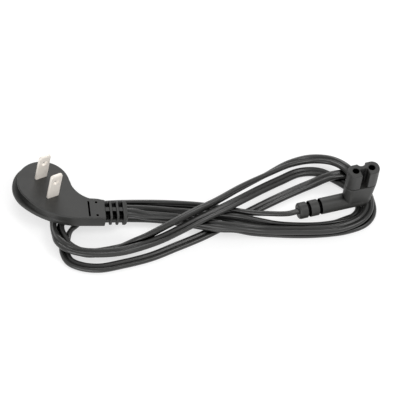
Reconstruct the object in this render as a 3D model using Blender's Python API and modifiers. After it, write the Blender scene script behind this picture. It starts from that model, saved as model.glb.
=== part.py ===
"""Angled power cord: a flat right-angle wall plug with two blades, a flat twin
cord laid in three loose figure-of-eight turns, and a right-angle figure-8
appliance connector.

The plug lies on the cord with its face and blades up, and the connector stands
on the cord with its sockets up. X runs from the plug to the connector, Z is up,
and the origin is on the floor under the middle of the whole object.
"""
from math import atan2, ceil, cos, degrees, pi, radians, sin

import bmesh
import bpy
from mathutils import Matrix, Vector

MM = 0.001           # the sizes below are in millimetres
GAP = 0.3            # clearance between pieces that touch
PAST = 1.0           # how far a cutter reaches past the surface it cuts
EDGE_ANGLE = 50.0    # edges that turn more sharply than this are rounded, in degrees
SMOOTH_ANGLE = 32.0  # faces that meet more gently than this are shaded as one, in degrees

# Cord: two round cores side by side, with a groove between them
CORE = 2.6                       # diameter of one core, the cord's thickness
CORD_WIDTH = 2 * CORE
WAIST = 0.72                     # height of the cord at its groove, share of CORE
CORE_SIDES = 10                  # sides of one core, if it were whole
LAYER = CORE + GAP               # height from one lying strand to the next

# Wall plug, placed by the middle of its round head
HEAD_X = -80.8
HEAD_Y = 0.9
PLUG_Z = 6.4                     # underside of the plug, lying on two strands
PLUG_THICK = 7.0
HEAD_RADIUS = 13.3
FLANGE_OUT = 1.8                 # how far the lower rim stands out past the face
FLANGE_THICK = 2.6
NECK_AXIS_Y = -15.5
NECK_WIDTH = 11.8
NECK_START_X = -64.0             # where the near edge becomes straight
NECK_FILLET_X = -53.5            # where the far edge becomes straight
NECK_END_X = -51.1
FACE_EDGE = 0.5                  # bevel round the plug's face and its rim

# Strain relief of the plug: rings and webs round a solid core
RELIEF_LENGTH = 11.1
RELIEF_ROOT = 1.5                # how far its core reaches into the neck
RELIEF_WIDTH = 11.0
RELIEF_RINGS = 3
RING_WIDTH = 1.25
RELIEF_CORE_WIDTH = 7.0
RELIEF_CORE_THICK = 3.4
WEB_WIDTH = 2.3
END_RING = 2.3
RELIEF_CHAMFER = 0.8

# Marks in the neck's face
SLIT_X = -59.4
SLIT_LENGTH = 9.5
SLIT_WIDTH = 0.95
SLIT_DEPTH = 2.8
PIN_X = -55.5
PIN_SPREAD = 8.0
PIN_DIAMETER = 1.3
PIN_DEPTH = 2.5

# Blades
BLADE_SPACING = 12.7
BLADE_WIDTH = 6.35
BLADE_THICK = 1.5
BLADE_LENGTH = 17.4              # proud of the face
BLADE_ROOT = 4.0                 # held in the moulding
BLADE_TURN = 22.2                # blade width from the X axis, in degrees
BLADES_X = -79.5                 # middle of the pair
BLADES_Y = -1.6
BLADE_TIP = 1.6                  # radius of the tip's corners
BLADE_EDGE = 0.2
BLADE_HOLE = 3.1
BLADE_HOLE_HEIGHT = 11.9

# Connector, placed by the middle of its head
CONN_X = 78.25
CONN_Y = -4.7
CONN_Z = 6.1
CONN_TURN = 15.0                 # its arm and socket pair from the X axis, in degrees
CONN_LENGTH = 16.6
CONN_DEPTH = 7.8
CONN_BODY_HEIGHT = 14.2
CONN_TAPER = 1.8                 # far end leans in towards the bottom
CONN_EDGE = 0.8
NOSE_HEIGHT = 11.6
END_FLAT = 0.6                   # flat that the corners leave at each end
NOSE_CORNER = (CONN_DEPTH - END_FLAT) / 2
NOSE_EDGE = 0.4
NOSE_STEM = 3.0                  # depth of the nose's stem in the body
NOSE_STEM_INSET = 1.8
NOSE_STEM_CORNER = 1.0
SOCKET_PITCH = 8.6
SOCKET_DIAMETER = 3.3
SOCKET_DEPTH = 9.5
SLOT_WIDTH = 4.0                 # the straight slot down the nose's front
SLOT_DEPTH = 2.8
SLOT_CORNER = 0.8
NOTCH_RADIUS = 2.2               # the round notch down its back
NOTCH_DEPTH = 1.6

# Arm of the connector, with two grooves that make its strain relief
ARM_DIAMETER = 8.3
ARM_REACH = 32.2                 # from the head's middle to the arm's end
ARM_FAR = 3.0                    # from the head's middle to its other end, under the head
ARM_RISE = 1.8                   # height of its axis above the head's foot
ARM_CHAMFER = 0.8
ARM_GROOVES = (4.5, 10.5)        # from the arm's end to each groove
ARM_GROOVE_WIDTH = 1.5
ARM_GROOVE_DEPTH = 1.4

# Where the cord goes into each moulding
GLAND_DEPTH = 2.0
STRAIGHT_OUT = 5.5               # the cord leaves each end straight for this far
ARM_CORD_TURN = -52.0            # how far the cord is turned on edge in the arm, in degrees

# The cord's way from plug to connector: X, Y, the layer it lies on (0 on the
# floor, 1 over one strand) and how far it is turned up on edge, in degrees.
ROUTE = [
    # from the plug along the front, round the right end on the outside
    (-30.5, -16.5, 2.7, 0), (-21.5, -16.5, 2.3, 0), (-12.5, -17, 2, 0), (-3, -19, 1.9, 0),
    (7, -21.6, 2.2, 0), (17, -22, 1.95, 0), (28.5, -22.1, 1.3, 0), (42.5, -22.2, 1.05, 0),
    (53, -22.1, 1.05, 0), (63.5, -21.4, 1.05, 0), (71.5, -19.4, 1.05, 0), (79.2, -15.3, 1.05, 0),
    (82.9, -11, 1.05, 0), (84.4, -6.5, 1.05, 0), (84.2, -1, 1.05, 0), (81.2, 5, 1.1, 0), (75.5, 14, 1.95, 0),
    # back over everything on edge, to the left end under the next strand
    (68.5, 21, 1.2, 0), (58.5, 22.5, 1, 0), (47, 19, 1.3, 25), (33, 10, 2, 60),
    (19, 0.5, 2.8, 80), (5, -9.5, 3.4, 85), (-8.5, -17.5, 3.7, 85), (-20, -23.5, 3.2, 80),
    (-31.5, -28.1, 1.9, 80), (-38, -29.4, 1, 70), (-44.5, -31.3, 0.5, 52), (-54.5, -34, 0.2, 5),
    (-61, -34.5, 0.25, 0), (-67, -33.4, 0.75, 0), (-71.4, -30.4, 1.2, -8), (-72.9, -25, 1.06, -54),
    (-72.8, -19, 0.75, -66), (-70.3, -14.3, 0.9, -25), (-65.5, -11.8, 1.05, 0), (-60, -12.3, 1.05, 0),
    # out along the floor, under the first strand, and round the right end
    (-53.5, -13, 0.9, 0), (-45, -12.5, 0.3, 0), (-35.5, -12, 0, 0), (-24, -12.5, 0, 0),
    (-12, -14.5, 0, 0), (-1.5, -18.5, 0.8, 0), (7.5, -20.6, 1.05, 0), (15, -20.8, 1, 0),
    (23, -21, 0.3, 0), (32, -21.3, 0, 0), (43, -21.9, 0, 0), (53, -21.9, 0, 0), (63.4, -21.1, 0, 0),
    (72, -19.5, 0, 0), (80.7, -15.9, 0, 0), (84.6, -11.7, 0, 0), (86.1, -7, 0, 0), (85.7, -1, 0, 0),
    # back along the floor beneath everything, to the front of the left end
    (84.3, 5, 0, 0), (81, 11, 0.25, 0), (75, 13.2, 0.8, 0), (66.5, 11.5, 1.05, 0), (57.5, 9, 0.1, 0),
    (47, 4, 0, 0), (34, -3, 0, 0), (21, -10.5, 0, 0), (9, -17.5, 0, 0),
    (-2.5, -24, 0, 0), (-16, -30.5, 0, 0), (-29, -36.5, 0, 0), (-44, -41, 0, 0),
    (-55.5, -43.4, 0, 0), (-64.5, -42.3, 0, 0), (-69.9, -39.2, 0, 0), (-71.9, -33.8, 0, 0),
    (-71.3, -27.8, 0.04, -18), (-68.7, -22.3, 0.38, -75), (-65.2, -17.8, 0.3, -52), (-62.6, -13, 0.02, -5),
    # out again on edge behind the first strand, and round inside the others
    (-59.2, -9.3, 0, -5), (-53.5, -7.7, 0.22, -42), (-45.5, -7.5, 0.48, -85), (-36.5, -7.5, 0.48, -90),
    (-26.5, -8, 0.48, -90), (-16.5, -9, 0.48, -90), (-6.5, -10, 0.48, -90), (4, -13, 1.05, -90),
    (17, -15.5, 1.55, -90), (28, -16.8, 1, -85), (36, -17.4, 0.55, -75), (46, -17.6, 0.4, -62),
    (57.5, -17.4, 0.4, -60), (66, -16, 0.4, -55), (72.2, -13.8, 0.25, -35), (77.2, -11.6, 0.1, -15),
    (80.2, -7.6, 0, 0), (80.5, -3.2, 0, 0), (79.6, 1.5, 0, 0), (78, 5.3, 0, 0), (74, 9, 0, 0),
    (68.5, 13, 0, 0), (61.5, 16.5, 0, 0),
    # back over the top, lying flat, and round the left end on the outside
    (52, 16, 0.1, 0), (41, 9.5, 0.75, 0), (29.5, 1.5, 1.7, 0), (18.5, -6.5, 2.55, 0),
    (7.5, -13.5, 2.95, 0), (-3.5, -19.5, 2.9, 0), (-14, -25, 2.45, 0), (-24, -29.5, 1.9, 0),
    (-34.5, -33.1, 1.5, 0), (-45, -36.1, 1.45, 0), (-56, -37.2, 1.5, 0), (-65, -36.8, 1.7, 0),
    (-71.5, -34.6, 1.95, -20), (-75.3, -29.6, 1.6, -54), (-76.3, -23.5, 0.9, -82), (-76.2, -17, 0.55, -76),
    (-74.6, -11.5, 0.85, -30), (-69.2, -7.4, 1.05, 0), (-62, -5.5, 1.05, 0),
    # the last stretch, on edge, then leaning back as it goes into the connector
    (-53, -4.5, 0.9, -25), (-44.5, -4.5, 0.5, -80), (-35.5, -4.5, 0.5, -90), (-23.5, -4.5, 0.5, -90),
    (-12, -5, 0.5, -90), (-1, -6, 0.5, -90), (9.5, -8.7, 1, -80), (20, -12, 1.6, -65),
    (30.5, -14.2, 2.2, -54),
]
ROUTE_SPACING = 17.0             # longest straight piece of the cord's tube
ROUTE_BEND = 20.0                # most that it turns at one point, in degrees
ROUTE_STEPS = 12                 # points of the smooth curve from one route point to the next

ARC_STEP = 12.0                  # degrees of arc for one side of a round outline


def remove_all():
    """Start from an empty scene."""
    for thing in list(bpy.data.objects):
        bpy.data.objects.remove(thing, do_unlink=True)


def material(name, colour, roughness, metallic):
    """A plain finish: colour in linear values, roughness and metal."""
    mat = bpy.data.materials.new(name)
    mat.use_nodes = True
    shader = mat.node_tree.nodes["Principled BSDF"]
    shader.inputs["Base Color"].default_value = (*colour, 1.0)
    shader.inputs["Roughness"].default_value = roughness
    shader.inputs["Metallic"].default_value = metallic
    return mat


def link(thing, group, parent):
    """Put an object in one collection and under its parent."""
    for old in list(thing.users_collection):
        old.objects.unlink(thing)
    group.objects.link(thing)
    thing.parent = parent
    return thing


def mesh_object(name, build, group, parent):
    """An object whose mesh the given function fills in, in millimetres."""
    form = bmesh.new()
    build(form)
    bmesh.ops.recalc_face_normals(form, faces=form.faces)
    bmesh.ops.scale(form, vec=(MM, MM, MM), verts=form.verts)
    mesh = bpy.data.meshes.new(name)
    form.to_mesh(mesh)
    form.free()
    mesh.shade_smooth()
    mesh.set_sharp_from_angle(angle=radians(SMOOTH_ANGLE))
    return link(bpy.data.objects.new(name, mesh), group, parent)


def add_box(form, low, high):
    """A box between two corners."""
    low = Vector(low)
    high = Vector(high)
    size = high - low
    place = Matrix.Translation((low + high) / 2) @ Matrix.Diagonal((*size, 1.0))
    return bmesh.ops.create_cube(form, size=1.0, matrix=place)["verts"]


def add_cylinder(form, centre, radius, length, axis="Z"):
    """A cylinder about a point, along Z or X."""
    turn = Matrix.Rotation(pi / 2, 4, "Y") if axis == "X" else Matrix.Identity(4)
    place = Matrix.Translation(Vector(centre)) @ turn
    bmesh.ops.create_cone(form, cap_ends=True, segments=round(360 / ARC_STEP), radius1=radius,
                          radius2=radius, depth=length, matrix=place)


def add_slab(form, outline, low, high):
    """A flat outline given thickness between two heights."""
    ring = [form.verts.new((x, y, low)) for x, y in outline]
    face = form.faces.new(ring)
    raised = bmesh.ops.extrude_face_region(form, geom=[face])["geom"]
    top = [v for v in raised if isinstance(v, bmesh.types.BMVert)]
    bmesh.ops.translate(form, vec=(0, 0, high - low), verts=top)


def cutter(name, build, group, parent):
    """A solid that only cuts or joins, and is left out of the object."""
    tool = mesh_object(name, build, group, parent)
    tool.hide_render = True
    tool.display_type = "WIRE"
    return tool


def boolean(thing, tool, operation):
    """Cut or join with the exact solver."""
    step = thing.modifiers.new(tool.name, "BOOLEAN")
    step.object = tool
    step.operation = operation
    step.solver = "EXACT"


def bevel(thing, width, segments=2):
    """Rounded edges where faces meet more sharply than EDGE_ANGLE."""
    step = thing.modifiers.new("rounded_edges", "BEVEL")
    step.width = width * MM
    step.segments = segments
    step.limit_method = "ANGLE"
    step.angle_limit = radians(EDGE_ANGLE)


def arc(centre, radius, start, end):
    """Points along an arc, angles in degrees, both ends included."""
    count = max(2, ceil(abs(end - start) / ARC_STEP))
    out = []
    for i in range(count + 1):
        angle = radians(start + (end - start) * i / count)
        out.append((centre[0] + radius * cos(angle), centre[1] + radius * sin(angle)))
    return out


def rounded_rectangle(width, height, radius):
    """Outline of a rectangle with round corners, about the origin."""
    out = []
    for side, (sx, sy) in enumerate(((1, 1), (-1, 1), (-1, -1), (1, -1))):
        centre = (sx * (width / 2 - radius), sy * (height / 2 - radius))
        out += arc(centre, radius, 90 * side, 90 * side + 90)
    return out


def plug_outline(head_radius):
    """The comma shape: a round head that runs into a straight neck.

    The near edge leaves the head on a wide arc that ends straight at
    NECK_START_X, and the far edge on a hollow arc that ends at NECK_FILLET_X.
    """
    near = NECK_AXIS_Y - NECK_WIDTH / 2
    far = NECK_AXIS_Y + NECK_WIDTH / 2
    # wide arc: its circle holds the head's circle and touches the near edge
    run = NECK_START_X - HEAD_X
    rise = near - HEAD_Y
    wide = (run ** 2 + rise ** 2 - head_radius ** 2) / (2 * (-rise - head_radius))
    wide_centre = (NECK_START_X, near + wide)
    touch = degrees(atan2(HEAD_Y - wide_centre[1], HEAD_X - wide_centre[0]))
    # hollow arc: its circle touches the head's from outside, and the far edge
    run = NECK_FILLET_X - HEAD_X
    rise = far - HEAD_Y
    hollow = (run ** 2 + rise ** 2 - head_radius ** 2) / (2 * (head_radius - rise))
    hollow_centre = (NECK_FILLET_X, far + hollow)
    meet = degrees(atan2(hollow_centre[1] - HEAD_Y, hollow_centre[0] - HEAD_X))
    out = arc(hollow_centre, hollow, 270, 180 + meet)
    out += arc((HEAD_X, HEAD_Y), head_radius, meet, 360 + touch)[1:]
    out += arc(wide_centre, wide, 360 + touch, 270)[1:]
    out += [(NECK_END_X, near), (NECK_END_X, far)]
    return out


def plug_pieces(group, tools, parent):
    """The moulded plug: rim, face, neck and strain relief in one piece."""
    mid = PLUG_Z + PLUG_THICK / 2
    end = NECK_END_X + RELIEF_LENGTH

    def face(form):
        add_slab(form, plug_outline(HEAD_RADIUS), PLUG_Z, PLUG_Z + PLUG_THICK)

    def rim(form):
        add_slab(form, plug_outline(HEAD_RADIUS + FLANGE_OUT), PLUG_Z, PLUG_Z + FLANGE_THICK)

    body = mesh_object("plug_body", face, group, parent)
    bevel(body, FACE_EDGE)
    flange = cutter("plug_rim", rim, tools, parent)
    bevel(flange, FACE_EDGE, 1)
    boolean(body, flange, "UNION")

    def block(x0, x1, dy, dz):
        def build(form):
            add_box(form, (x0, NECK_AXIS_Y - dy, mid - dz), (x1, NECK_AXIS_Y + dy, mid + dz))
        return build

    inside = NECK_END_X - RELIEF_ROOT
    core = block(inside, end, RELIEF_CORE_WIDTH / 2, RELIEF_CORE_THICK / 2)
    boolean(body, cutter("relief_core", core, tools, parent), "UNION")
    flat_web = block(inside, end - RELIEF_CHAMFER, WEB_WIDTH / 2, PLUG_THICK / 2 - GAP)
    boolean(body, cutter("relief_web_flat", flat_web, tools, parent), "UNION")
    side_web = block(inside, end - RELIEF_CHAMFER, RELIEF_WIDTH / 2 - GAP, WEB_WIDTH / 2)
    boolean(body, cutter("relief_web_side", side_web, tools, parent), "UNION")

    # the last ring ends the relief, the others stand evenly between
    pitch = (RELIEF_LENGTH - END_RING + RING_WIDTH) / RELIEF_RINGS
    for i in range(1, RELIEF_RINGS + 1):
        last = i == RELIEF_RINGS
        x1 = end if last else NECK_END_X + i * pitch
        x0 = end - END_RING if last else x1 - RING_WIDTH
        ring = block(x0, x1, RELIEF_WIDTH / 2, PLUG_THICK / 2)
        piece = cutter(f"relief_ring_{i}", ring, tools, parent)
        bevel(piece, RELIEF_CHAMFER if last else RELIEF_CHAMFER / 2, 1)
        boolean(body, piece, "UNION")

    # pockets for the blades, the gland for the cord and the marks in the face
    for side, name in ((1, "far"), (-1, "near")):
        spot = blade_place(side, parent, tools)
        boolean(body, cutter(f"blade_pocket_{name}", blade_block(GAP), tools, spot), "DIFFERENCE")
    boolean(body, gland("plug_gland", (end, NECK_AXIS_Y, mid), 0.0, 180.0, tools, parent), "DIFFERENCE")
    top = PLUG_Z + PLUG_THICK

    def slit(form):
        add_box(form, (SLIT_X - SLIT_WIDTH / 2, NECK_AXIS_Y - SLIT_LENGTH / 2, top - SLIT_DEPTH),
                (SLIT_X + SLIT_WIDTH / 2, NECK_AXIS_Y + SLIT_LENGTH / 2, top + PAST))

    boolean(body, cutter("neck_slit", slit, tools, parent), "DIFFERENCE")
    for side in (-1, 1):
        def pin(form, side=side):
            spot = (PIN_X, NECK_AXIS_Y + side * PIN_SPREAD / 2, top)
            add_cylinder(form, spot, PIN_DIAMETER / 2, 2 * PIN_DEPTH)
        boolean(body, cutter(f"neck_pin_{side + 1}", pin, tools, parent), "DIFFERENCE")
    return body


def blade_place(side, parent, group):
    """An empty at the foot of a blade, turned as the blade is."""
    turn = radians(BLADE_TURN)
    x = BLADES_X - side * sin(turn) * BLADE_SPACING / 2
    y = BLADES_Y + side * cos(turn) * BLADE_SPACING / 2
    spot = bpy.data.objects.new(f"blade_spot_{side}", None)
    link(spot, group, parent)
    spot.location = Vector((x, y, PLUG_Z + PLUG_THICK)) * MM
    spot.rotation_euler = (0, 0, turn)
    return spot


def blade_block(room):
    """The part of a blade that the moulding holds, with room round it."""
    def build(form):
        half = BLADE_WIDTH / 2 + room
        depth = BLADE_THICK / 2 + room
        add_box(form, (-half, -depth, -BLADE_ROOT - room), (half, depth, PAST))
    return build


def blade(side, name, group, tools, parent):
    """One flat blade with round corners at its tip and a round hole."""
    spot = blade_place(side, parent, tools)
    upright = Matrix.Rotation(pi / 2, 3, "X")

    def build(form):
        half = BLADE_WIDTH / 2
        corner = half - BLADE_TIP
        outline = [(-half, -BLADE_ROOT), (half, -BLADE_ROOT)]
        outline += arc((corner, BLADE_LENGTH - BLADE_TIP), BLADE_TIP, 0, 90)
        outline += arc((-corner, BLADE_LENGTH - BLADE_TIP), BLADE_TIP, 90, 180)
        add_slab(form, outline, -BLADE_THICK / 2, BLADE_THICK / 2)
        bmesh.ops.rotate(form, cent=(0, 0, 0), matrix=upright, verts=form.verts)

    def hole(form):
        add_cylinder(form, (0, BLADE_HOLE_HEIGHT, 0), BLADE_HOLE / 2, BLADE_THICK + 2 * PAST)
        bmesh.ops.rotate(form, cent=(0, 0, 0), matrix=upright, verts=form.verts)

    piece = mesh_object(name, build, group, spot)
    bevel(piece, BLADE_EDGE, 1)
    boolean(piece, cutter(f"{name}_hole", hole, tools, spot), "DIFFERENCE")
    return piece


def gland(name, mouth, turn, side, tools, parent):
    """The socket that the cord goes into: the cord's section with room round it.

    The mouth is the middle of the moulding's end, turn is 0 for a flat cord and
    90 for one on edge, and side is the way into the moulding, in degrees.
    """
    def build(form):
        wide = CORD_WIDTH + 2 * GAP
        high = CORE + 2 * GAP
        add_slab(form, rounded_rectangle(wide, high, CORE / 2), -PAST, GLAND_DEPTH)
        bmesh.ops.rotate(form, cent=(0, 0, 0), matrix=Matrix.Rotation(radians(turn), 3, "Z"), verts=form.verts)
        # the section's own axis Z turns to point into the moulding, its Y to Z
        bmesh.ops.rotate(form, cent=(0, 0, 0), matrix=Matrix.Rotation(pi / 2, 3, "X"), verts=form.verts)
        bmesh.ops.rotate(form, cent=(0, 0, 0), matrix=Matrix.Rotation(radians(side + 90), 3, "Z"), verts=form.verts)
        bmesh.ops.translate(form, vec=mouth, verts=form.verts)
    return cutter(name, build, tools, parent)


def connector_pieces(group, tools, parent):
    """The moulded elbow of the connector and its figure-8 nose."""
    spot = link(bpy.data.objects.new("connector_spot", None), tools, parent)
    spot.location = Vector((CONN_X, CONN_Y, CONN_Z)) * MM
    spot.rotation_euler = (0, 0, radians(CONN_TURN))
    deep = CONN_DEPTH / 2
    seam = CONN_BODY_HEIGHT
    top = seam + NOSE_HEIGHT

    def head(form):
        add_slab(form, rounded_rectangle(CONN_LENGTH, CONN_DEPTH, NOSE_CORNER), 0, seam)
        for vert in form.verts:
            if vert.co.x > 0 and vert.co.z < seam / 2:
                vert.co.x -= CONN_TAPER

    def arm(form):
        add_cylinder(form, ((ARM_FAR - ARM_REACH) / 2, 0, ARM_RISE), ARM_DIAMETER / 2, ARM_REACH + ARM_FAR, "X")

    body = mesh_object("connector_body", head, group, spot)
    bevel(body, CONN_EDGE)
    limb = cutter("connector_arm", arm, tools, spot)
    bevel(limb, ARM_CHAMFER)
    boolean(body, limb, "UNION")
    for i, reach in enumerate(ARM_GROOVES):
        def groove(form, reach=reach):
            add_ring(form, -ARM_REACH + reach, -ARM_REACH + reach + ARM_GROOVE_WIDTH)
        boolean(body, cutter(f"arm_groove_{i}", groove, tools, spot), "DIFFERENCE")
    mouth = (-ARM_REACH, 0, ARM_RISE)
    boolean(body, gland("connector_gland", mouth, ARM_CORD_TURN, 0.0, tools, spot), "DIFFERENCE")

    stem = (CONN_LENGTH - 2 * NOSE_STEM_INSET, CONN_DEPTH - 2 * NOSE_STEM_INSET)

    def pocket(form):
        outline = rounded_rectangle(stem[0] + 2 * GAP, stem[1] + 2 * GAP, NOSE_STEM_CORNER + GAP)
        add_slab(form, outline, seam - NOSE_STEM - GAP, seam + PAST)

    boolean(body, cutter("nose_pocket", pocket, tools, spot), "DIFFERENCE")

    def tip(form):
        add_slab(form, rounded_rectangle(CONN_LENGTH, CONN_DEPTH, NOSE_CORNER), seam + GAP, top)

    def foot(form):
        add_slab(form, rounded_rectangle(*stem, NOSE_STEM_CORNER), seam - NOSE_STEM, seam + PAST)

    def slot(form):
        outline = rounded_rectangle(SLOT_WIDTH, 2 * SLOT_DEPTH, SLOT_CORNER)
        add_slab(form, [(x, y - deep) for x, y in outline], seam, top + PAST)

    def notch(form):
        centre = (0, deep - NOTCH_DEPTH + NOTCH_RADIUS, (seam + top + PAST) / 2)
        add_cylinder(form, centre, NOTCH_RADIUS, NOSE_HEIGHT + PAST)

    nose = mesh_object("connector_nose", tip, group, spot)
    bevel(nose, NOSE_EDGE, 1)
    boolean(nose, cutter("nose_slot", slot, tools, spot), "DIFFERENCE")
    boolean(nose, cutter("nose_notch", notch, tools, spot), "DIFFERENCE")
    boolean(nose, cutter("nose_foot", foot, tools, spot), "UNION")
    for side in (-1, 1):
        def socket(form, side=side):
            add_cylinder(form, (side * SOCKET_PITCH / 2, 0, top), SOCKET_DIAMETER / 2, 2 * SOCKET_DEPTH)
        boolean(nose, cutter(f"nose_socket_{side + 1}", socket, tools, spot), "DIFFERENCE")
    return body, nose


def add_ring(form, x0, x1):
    """A ring about the arm, open in the middle, between two places on X."""
    inner = ARM_DIAMETER / 2 - ARM_GROOVE_DEPTH
    outer = ARM_DIAMETER / 2 + PAST
    corners = [(x0, inner), (x1, inner), (x1, outer), (x0, outer)]
    verts = [form.verts.new((x, 0, ARM_RISE + r)) for x, r in corners]
    edges = [form.edges.new((verts[i], verts[(i + 1) % 4])) for i in range(4)]
    bmesh.ops.spin(form, geom=verts + edges, cent=(0, 0, ARM_RISE), axis=(1, 0, 0), angle=2 * pi,
                   steps=round(360 / ARC_STEP), use_merge=True)
    bmesh.ops.remove_doubles(form, verts=form.verts, dist=0.001)


def route_points():
    """The whole route as X, Y, Z and turn, from inside one gland to the other."""
    mid = PLUG_Z + PLUG_THICK / 2
    mouth = NECK_END_X + RELIEF_LENGTH
    inside = GLAND_DEPTH - GAP
    points = [(mouth - inside, NECK_AXIS_Y, mid, 0.0), (mouth + STRAIGHT_OUT / 2, NECK_AXIS_Y, mid, 0.0)]
    for x, y, layer, turn in ROUTE:
        points.append((x, y, CORE / 2 + layer * LAYER, float(turn)))
    turn = radians(CONN_TURN)
    height = CONN_Z + ARM_RISE
    for reach in (ARM_REACH + STRAIGHT_OUT, ARM_REACH, ARM_REACH - inside):
        points.append((CONN_X - reach * cos(turn), CONN_Y - reach * sin(turn), height, ARM_CORD_TURN))
    return points


def between(p0, p1, p2, p3, count):
    """Points of a smooth curve from p1 towards p2, spaced by chord length."""
    times = [0.0]
    for a, b in ((p0, p1), (p1, p2), (p2, p3)):
        times.append(times[-1] + (Vector(b[:3]) - Vector(a[:3])).length ** 0.5)
    t0, t1, t2, t3 = times

    def blend(a, b, start, end, t):
        share = (t - start) / (end - start)
        return tuple(u + (v - u) * share for u, v in zip(a, b))

    out = []
    for i in range(count):
        t = t1 + (t2 - t1) * i / count
        a = blend(p0, p1, t0, t1, t)
        b = blend(p1, p2, t1, t2, t)
        c = blend(p2, p3, t2, t3, t)
        out.append(blend(blend(a, b, t0, t2, t), blend(b, c, t1, t3, t), t1, t2, t))
    return out


def smooth_route():
    """One smooth curve through the route, which never dips under the floor."""
    points = route_points()
    first = tuple(2 * a - b for a, b in zip(points[0], points[1]))
    last = tuple(2 * a - b for a, b in zip(points[-1], points[-2]))
    points = [first, *points, last]
    out = []
    for i in range(1, len(points) - 2):
        out += between(*points[i - 1:i + 3], ROUTE_STEPS)
    out.append(points[-2])
    level = []
    for x, y, z, turn in out:
        lowest = CORE / 2 + CORE / 2 * abs(sin(radians(turn)))
        level.append((x, y, max(z, lowest), turn))
    return level


def thin_out(points):
    """Keep a point where the route has run or turned far enough, and the
    points that hold the cord straight where it leaves each moulding."""
    held = (ROUTE_STEPS, len(points) - 1 - 2 * ROUTE_STEPS, len(points) - 1 - ROUTE_STEPS)
    kept = [points[0]]
    run = 0.0
    turned = 0.0
    for i in range(1, len(points) - 1):
        here = points[i]
        step = Vector(here[:3]) - Vector(points[i - 1][:3])
        ahead = Vector(points[i + 1][:3]) - Vector(here[:3])
        run += step.length
        turned += degrees(step.angle(ahead))
        if i in held or run >= ROUTE_SPACING or turned >= ROUTE_BEND:
            kept.append(here)
            run = 0.0
            turned = 0.0
    kept.append(points[-1])
    return kept


def cord_section(tools, parent):
    """The outline of the two cores, with a waist between them."""
    data = bpy.data.curves.new("cord_section", "CURVE")
    data.dimensions = "2D"
    outline = []
    step = 360 / CORE_SIDES
    for side, start in ((1, 2 * step), (-1, 2 * step + 180)):
        for i in range(CORE_SIDES // 2):
            angle = radians(start - step * i)
            outline.append((side * CORE / 2 + CORE / 2 * cos(angle), CORE / 2 * sin(angle)))
        outline.append((0.0, -side * WAIST * CORE / 2))
    spline = data.splines.new("POLY")
    spline.points.add(len(outline) - 1)
    for point, (x, y) in zip(spline.points, outline):
        point.co = (x * MM, y * MM, 0.0, 1.0)
    spline.use_cyclic_u = True
    section = link(bpy.data.objects.new("cord_section", data), tools, parent)
    section.hide_render = True
    section.display_type = "WIRE"
    return section


def cord_piece(group, tools, parent):
    """The flat twin cord as one tube, turned on edge where the route says."""
    data = bpy.data.curves.new("cord", "CURVE")
    data.dimensions = "3D"
    data.twist_mode = "Z_UP"
    data.bevel_mode = "OBJECT"
    data.bevel_object = cord_section(tools, parent)
    data.use_fill_caps = True
    points = thin_out(smooth_route())
    spline = data.splines.new("POLY")
    spline.points.add(len(points) - 1)
    for point, (x, y, z, turn) in zip(spline.points, points):
        point.co = (x * MM, y * MM, z * MM, 1.0)
        point.tilt = radians(turn)
    return link(bpy.data.objects.new("cord", data), group, parent)


def centre_on_floor(group, parent):
    """Move everything so that the origin is under the middle of the object."""
    bpy.context.view_layer.update()
    graph = bpy.context.evaluated_depsgraph_get()
    corners = []
    for thing in group.objects:
        shape = thing.evaluated_get(graph)
        mesh = shape.to_mesh()
        corners += [shape.matrix_world @ v.co for v in mesh.vertices]
        shape.to_mesh_clear()
    for axis in range(3):
        low = min(c[axis] for c in corners)
        high = max(c[axis] for c in corners)
        parent.location[axis] = -low if axis == 2 else -(low + high) / 2
    bpy.context.view_layer.update()


def main():
    remove_all()
    group = bpy.data.collections.new("angled_power_cord")
    tools = bpy.data.collections.new("cutters")
    bpy.context.scene.collection.children.link(group)
    bpy.context.scene.collection.children.link(tools)
    lay = link(bpy.data.objects.new("lay", None), tools, None)

    pvc = material("black_pvc_moulding", (0.065, 0.065, 0.064), 0.5, 0.0)
    jacket = material("black_pvc_jacket", (0.07, 0.07, 0.069), 0.42, 0.0)
    insert = material("black_hard_insert", (0.062, 0.062, 0.062), 0.45, 0.0)
    nickel = material("nickel_plated_brass", (0.62, 0.58, 0.54), 0.28, 1.0)

    plug = plug_pieces(group, tools, lay)
    plug.data.materials.append(pvc)
    for side, name in ((1, "blade_far"), (-1, "blade_near")):
        blade(side, name, group, tools, lay).data.materials.append(nickel)
    body, nose = connector_pieces(group, tools, lay)
    body.data.materials.append(pvc)
    nose.data.materials.append(insert)
    cord_piece(group, tools, lay).data.materials.append(jacket)
    centre_on_floor(group, lay)


main()
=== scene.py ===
"""Angled power cord: a moulded flat plug with two nickel-plated blades, a flat
twin cord in three loose figure-of-eight turns, and a right-angle connector.

Sizes are in millimetres, and the main ones are those of the solids. The rounds
of edges, the waist of the plug's side wall, the thinned tips of the blades, the
cord's section and the hidden roots of pieces are this script's own. Two cuts
go deeper here so that they lie dark: SLOT_DEPTH and ARM_GROOVE_DEPTH. The
plug's and the connector's places are given in the desk frame, which has its
origin in the middle of the photograph. The far blade's box says where that
frame lies.
"""

from math import atan2, cos, degrees, radians, sin

import bpy
from mathutils import Matrix, Vector


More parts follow.
